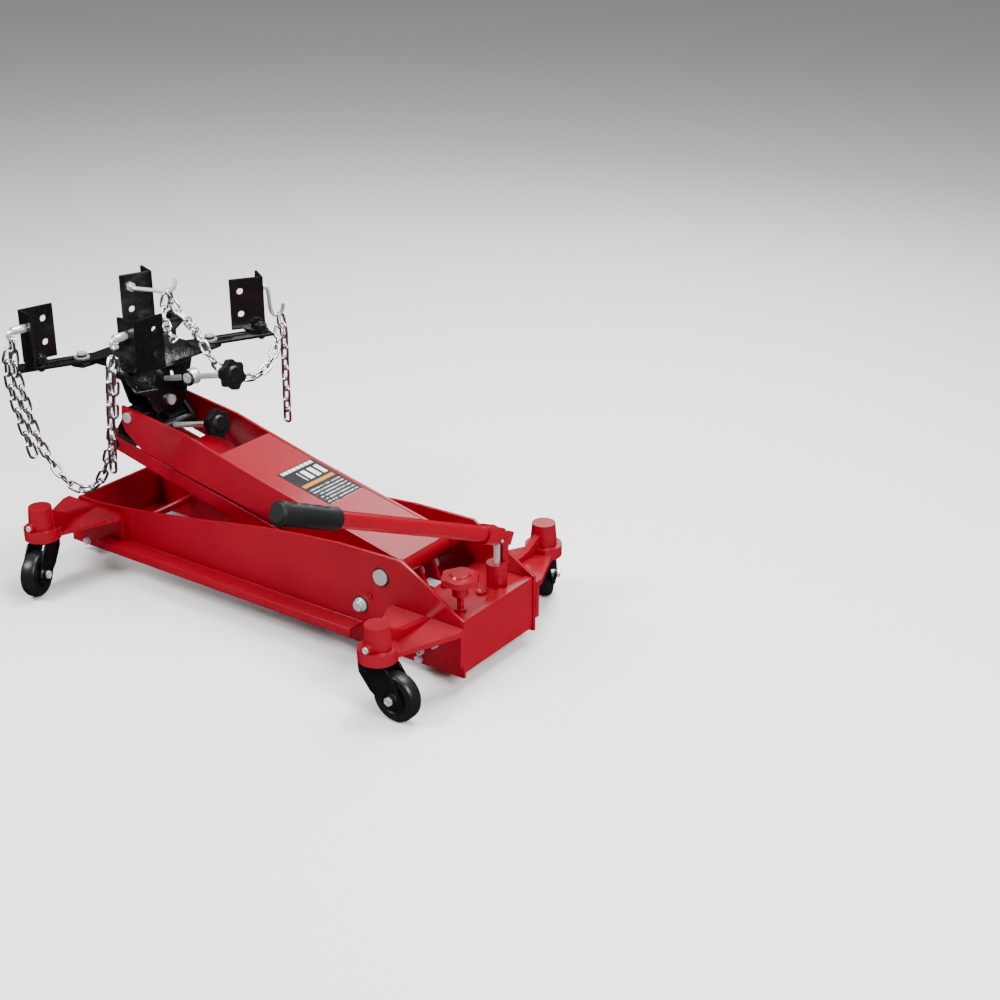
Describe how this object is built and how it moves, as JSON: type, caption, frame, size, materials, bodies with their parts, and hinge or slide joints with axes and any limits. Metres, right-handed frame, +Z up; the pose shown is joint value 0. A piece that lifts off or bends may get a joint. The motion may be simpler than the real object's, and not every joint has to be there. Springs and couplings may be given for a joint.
{
  "type": "floor_transmission_jack",
  "caption": "Low rolling floor jack for gearboxes: red steel frame, parallel lift arm, tilting black saddle with slotted arms, angle brackets, chains, casters and a side pump handle",
  "frame": {"origin": "on the floor under the middle of the overall bounding box, chains left out", "axes": "+X towards the handle end of the frame, +Y to the side away from the pump handle, +Z up"},
  "size_m": [0.9672, 0.759, 0.5207],
  "materials": {
    "red_paint": "gloss red enamel",
    "black_paint": "gloss black enamel",
    "zinc": "bright zinc plating",
    "grip_rubber": "dark grey moulded rubber",
    "knob_plastic": "black moulded plastic",
    "wheel_tyre": "black hard rubber wheel"
  },
  "bodies": {
    "frame": {"side_plate_near": "red_paint", "side_plate_far": "red_paint", "front_cross_plate": "red_paint", "front_tie_rod": "red_paint", "rear_end_plate": "red_paint", "power_unit": "red_paint", "caster_arm_rear_near": "red_paint", "caster_arm_rear_far": "red_paint", "caster_arm_front_near": "red_paint", "caster_arm_front_far": "red_paint", "arm_shaft": "zinc", "link_pivot_near": "zinc", "link_pivot_far": "zinc"},
    "caster_rear_near": {"caster_fork_rear_near": "black_paint"},
    "wheel_rear_near": {"caster_wheel_rear_near": "wheel_tyre"},
    "caster_rear_far": {"caster_fork_rear_far": "black_paint"},
    "wheel_rear_far": {"caster_wheel_rear_far": "wheel_tyre"},
    "caster_front_near": {"caster_fork_front_near": "black_paint"},
    "wheel_front_near": {"caster_wheel_front_near": "wheel_tyre"},
    "caster_front_far": {"caster_fork_front_far": "black_paint"},
    "wheel_front_far": {"caster_wheel_front_far": "wheel_tyre"},
    "lift": {"lift_arm": "red_paint", "saddle_pin": "zinc"},
    "link_near": {"link_near": "red_paint"},
    "link_far": {"link_far": "red_paint"},
    "carrier": {"saddle_carrier": "black_paint"},
    "ram": {"ram": "zinc"},
    "head": {"tilt_block": "black_paint", "roll_pin": "zinc", "lock_screw": "zinc"},
    "tilt_screw": {"tilt_screw": "zinc"},
    "tilt_knob": {"tilt_knob": "knob_plastic"},
    "table": {"saddle_table": "black_paint", "chain_near": "zinc", "chain_far": "zinc"},
    "lock_knob": {"lock_knob": "knob_plastic"},
    "arm_front_near": {"slotted_arm_front_near": "black_paint", "bracket_knob_front_near": "knob_plastic"},
    "bracket_front_near": {"bracket_front_near": "black_paint", "chain_hook_front_near": "zinc"},
    "arm_front_far": {"slotted_arm_front_far": "black_paint", "bracket_knob_front_far": "knob_plastic"},
    "bracket_front_far": {"bracket_front_far": "black_paint", "chain_hook_front_far": "zinc"},
    "arm_rear_near": {"slotted_arm_rear_near": "black_paint", "bracket_knob_rear_near": "knob_plastic"},
    "bracket_rear_near": {"bracket_rear_near": "black_paint", "chain_hook_rear_near": "zinc"},
    "arm_rear_far": {"slotted_arm_rear_far": "black_paint", "bracket_knob_rear_far": "knob_plastic"},
    "bracket_rear_far": {"bracket_rear_far": "black_paint", "chain_hook_rear_far": "zinc"},
    "pump_head": {"pump_head": "red_paint"},
    "handle": {"handle_yoke": "red_paint", "handle_tube": "red_paint", "handle_grip": "grip_rubber"},
    "plunger": {"pump_plunger": "zinc"},
    "release": {"release_knob": "red_paint"}
  },
  "joints": [
    {"name": "swivel_rear_near", "type": "hinge", "parent": "frame", "child": "caster_rear_near", "pos_m": [0.40262, -0.17662, 0.1], "axis": [0, 0, 1], "continuous": true},
    {"name": "roll_rear_near", "type": "hinge", "parent": "caster_rear_near", "child": "wheel_rear_near", "pos_m": [0.44062, -0.17662, 0.043], "axis": [0, 1, 0], "continuous": true},
    {"name": "swivel_rear_far", "type": "hinge", "parent": "frame", "child": "caster_rear_far", "pos_m": [0.40262, 0.30338, 0.1], "axis": [0, 0, 1], "continuous": true},
    {"name": "roll_rear_far", "type": "hinge", "parent": "caster_rear_far", "child": "wheel_rear_far", "pos_m": [0.38596, 0.33754, 0.043], "axis": [-0.8988, -0.4384, 0], "continuous": true},
    {"name": "swivel_front_near", "type": "hinge", "parent": "frame", "child": "caster_front_near", "pos_m": [-0.39988, -0.17662, 0.1], "axis": [0, 0, 1], "continuous": true},
    {"name": "roll_front_near", "type": "hinge", "parent": "caster_front_near", "child": "wheel_front_near", "pos_m": [-0.38565, -0.21185, 0.043], "axis": [0.9272, 0.3746, 0], "continuous": true},
    {"name": "swivel_front_far", "type": "hinge", "parent": "frame", "child": "caster_front_far", "pos_m": [-0.39988, 0.30338, 0.1], "axis": [0, 0, 1], "continuous": true},
    {"name": "roll_front_far", "type": "hinge", "parent": "caster_front_far", "child": "wheel_front_far", "pos_m": [-0.43279, 0.32238, 0.043], "axis": [-0.5, -0.866, 0], "continuous": true},
    {"name": "lift", "type": "hinge", "parent": "frame", "child": "lift", "pos_m": [0.30332, 0.06338, 0.1644], "axis": [0, 1, 0], "range_deg": [0, 45]},
    {"name": "link_near", "type": "hinge", "parent": "frame", "child": "link_near", "pos_m": [0.25672, 0.00238, 0.0991], "axis": [0, 1, 0], "range_deg": [-0.5, 46.5]},
    {"name": "link_far", "type": "hinge", "parent": "frame", "child": "link_far", "pos_m": [0.25672, 0.12438, 0.0991], "axis": [0, 1, 0], "range_deg": [-0.5, 46.5]},
    {"name": "carrier_level", "type": "hinge", "parent": "lift", "child": "carrier", "pos_m": [-0.32798, 0.06338, 0.3018], "axis": [0, 1, 0], "range_deg": [-46.5, 0.5]},
    {"name": "ram_stroke", "type": "slide", "parent": "frame", "child": "ram", "axis": [-1, 0, 0], "range_m": [-0.001, 0.0545]},
    {"name": "fore_aft_tilt", "type": "hinge", "parent": "carrier", "child": "head", "pos_m": [-0.32798, 0.06338, 0.3018], "axis": [0, 1, 0], "range_deg": [-6, 6]},
    {"name": "tilt_screw_travel", "type": "slide", "parent": "carrier", "child": "tilt_screw", "axis": [0.9703, 0, 0.2419], "range_m": [-0.0043, 0.0043]},
    {"name": "tilt_knob_turn", "type": "hinge", "parent": "tilt_screw", "child": "tilt_knob", "pos_m": [-0.17328, 0.06338, 0.30135], "axis": [0.9703, 0, 0.2419], "continuous": true},
    {"name": "side_tilt", "type": "hinge", "parent": "head", "child": "table", "pos_m": [-0.33738, 0.06338, 0.326], "axis": [1, 0, 0], "range_deg": [-12, 12]},
    {"name": "lock_knob_turn", "type": "hinge", "parent": "head", "child": "lock_knob", "pos_m": [-0.12613, 0.06338, 0.40771], "axis": [0.9703, 0, 0.2419], "continuous": true},
    {"name": "arm_swing_front_near", "type": "hinge", "parent": "table", "child": "arm_front_near", "pos_m": [-0.39738, -0.04262, 0.413], "axis": [0, 0, 1], "range_deg": [-8, 8]},
    {"name": "bracket_turn_front_near", "type": "hinge", "parent": "arm_front_near", "child": "bracket_front_near", "pos_m": [-0.43141, -0.11057, 0.418], "axis": [0, 0, 1], "range_deg": [-10, 10]},
    {"name": "arm_swing_front_far", "type": "hinge", "parent": "table", "child": "arm_front_far", "pos_m": [-0.39738, 0.16938, 0.413], "axis": [0, 0, 1], "range_deg": [-8, 8]},
    {"name": "bracket_turn_front_far", "type": "hinge", "parent": "arm_front_far", "child": "bracket_front_far", "pos_m": [-0.42647, 0.22186, 0.418], "axis": [0, 0, 1], "range_deg": [-10, 2]},
    {"name": "arm_swing_rear_near", "type": "hinge", "parent": "table", "child": "arm_rear_near", "pos_m": [-0.27738, -0.04262, 0.413], "axis": [0, 0, 1], "range_deg": [-10, 10]},
    {"name": "bracket_turn_rear_near", "type": "hinge", "parent": "arm_rear_near", "child": "bracket_rear_near", "pos_m": [-0.18472, -0.08983, 0.418], "axis": [0, 0, 1], "range_deg": [-3, 3]},
    {"name": "arm_swing_rear_far", "type": "hinge", "parent": "table", "child": "arm_rear_far", "pos_m": [-0.27738, 0.16938, 0.413], "axis": [0, 0, 1], "range_deg": [-10, 10]},
    {"name": "bracket_turn_rear_far", "type": "hinge", "parent": "arm_rear_far", "child": "bracket_rear_far", "pos_m": [-0.23017, 0.26205, 0.418], "axis": [0, 0, 1], "range_deg": [-3, 10]},
    {"name": "handle_swivel", "type": "hinge", "parent": "frame", "child": "pump_head", "pos_m": [0.43462, 0.11138, 0.16], "axis": [0, 0, 1], "range_deg": [-20, 130]},
    {"name": "handle_pump", "type": "hinge", "parent": "pump_head", "child": "handle", "pos_m": [0.43631, 0.12729, 0.212], "axis": [-0.9944, 0.1058, 0], "range_deg": [-8, 30]},
    {"name": "plunger_stroke", "type": "slide", "parent": "pump_head", "child": "plunger", "axis": [0, 0, 1], "range_m": [-0.0025, 0.0095]},
    {"name": "release_turn", "type": "hinge", "parent": "frame", "child": "release", "pos_m": [0.44062, -0.00262, 0.178], "axis": [0, 0, 1], "range_deg": [-90, 90]}
  ],
  "couplings": [
    {"joint": "link_near", "follows": "lift", "ratio": 1},
    {"joint": "link_far", "follows": "lift", "ratio": 1},
    {"joint": "carrier_level", "follows": "lift", "ratio": -1},
    {"joint": "ram_stroke", "follows": "lift", "m_per_rad": 0.0662},
    {"joint": "tilt_screw_travel", "follows": "fore_aft_tilt", "m_per_rad": -0.0378},
    {"joint": "plunger_stroke", "follows": "handle_pump", "m_per_rad": 0.0168}
  ]
}
